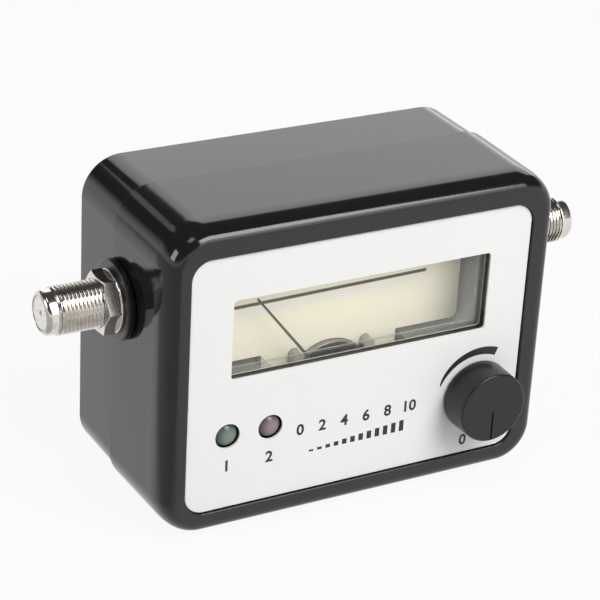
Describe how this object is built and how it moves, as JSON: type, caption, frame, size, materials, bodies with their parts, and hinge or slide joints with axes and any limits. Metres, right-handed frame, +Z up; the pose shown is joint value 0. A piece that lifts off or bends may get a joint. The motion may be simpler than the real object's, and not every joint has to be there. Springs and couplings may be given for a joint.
{
  "type": "satellite signal meter",
  "caption": "Small two-shell signal meter with a needle gauge behind a window, a sensitivity knob, lamps and threaded coaxial ports on its sides.",
  "frame": {"origin": "under the middle of the whole part, on the surface that it stands on", "axes": "+Z up, +X to the right as the face is seen, -Y out of the face; the ports point along -X and +X"},
  "size_m": [0.1178, 0.0474, 0.0653],
  "materials": {
    "black_plastic": "polished black moulding",
    "label": "satin printed sheet",
    "clear_plastic": "clear moulding",
    "frosted_plastic": "frosted grey moulding",
    "dial": "matt cream sheet",
    "dark_plastic": "satin black moulding",
    "needle": "matt painted",
    "nickel": "bright nickel plate",
    "steel": "zinc plated",
    "magnet": "dark sintered",
    "copper": "enamelled winding",
    "green_lamp": "tinted clear resin, unlit",
    "red_lamp": "tinted clear resin, unlit",
    "board": "green resist",
    "tin": "bright tin plate",
    "white_insulator": "milky white"
  },
  "bodies": {
    "housing": {"front_shell": "black_plastic", "rear_shell": "black_plastic", "front_label": "label", "housing_screw_upper_left": "steel", "housing_screw_upper_right": "steel", "housing_screw_lower_left": "steel", "housing_screw_lower_right": "steel", "board_screw_upper_left": "steel", "board_screw_upper_right": "steel", "board_screw_lower_left": "steel", "board_screw_lower_right": "steel", "circuit_board": "board", "shield_can": "tin", "filter_capacitor_a": "dark_plastic", "filter_capacitor_b": "dark_plastic", "amplifier_chip": "dark_plastic", "left_port_barrel": "nickel", "left_port_washer": "dark_plastic", "left_port_nut": "nickel", "left_port_insulator": "white_insulator", "left_port_contact": "nickel", "right_port_barrel": "nickel", "right_port_washer": "dark_plastic", "right_port_nut": "nickel", "right_port_insulator": "white_insulator", "right_port_contact": "nickel", "potentiometer": "dark_plastic", "lamp_green": "green_lamp", "lamp_red": "red_lamp", "meter_case": "clear_plastic", "meter_base": "dark_plastic", "dial_plate": "dial", "meter_terminal_left": "nickel", "meter_terminal_right": "nickel", "yoke_ring": "magnet", "core_magnet": "magnet", "movement_carrier": "frosted_plastic", "front_bridge": "steel", "pivot_screw": "nickel", "bridge_screw_left": "steel", "bridge_screw_right": "steel"},
    "knob": {"knob": "black_plastic", "knob_shaft": "steel"},
    "pointer": {"moving_coil": "copper", "spindle": "steel", "needle": "needle", "hairspring": "copper"}
  },
  "joints": [
    {"name": "knob_turn", "type": "hinge", "parent": "housing", "child": "knob", "pos_m": [0.02695, -0.0172, 0.0186], "axis": [0, 1, 0], "range_deg": [0, 280]},
    {"name": "needle_swing", "type": "hinge", "parent": "housing", "child": "pointer", "pos_m": [-0.00165, -0.0108, 0.02245], "axis": [0, 1, 0], "range_deg": [0, 77.5], "stiffness_Nm_per_rad": 0.00002}
  ]
}
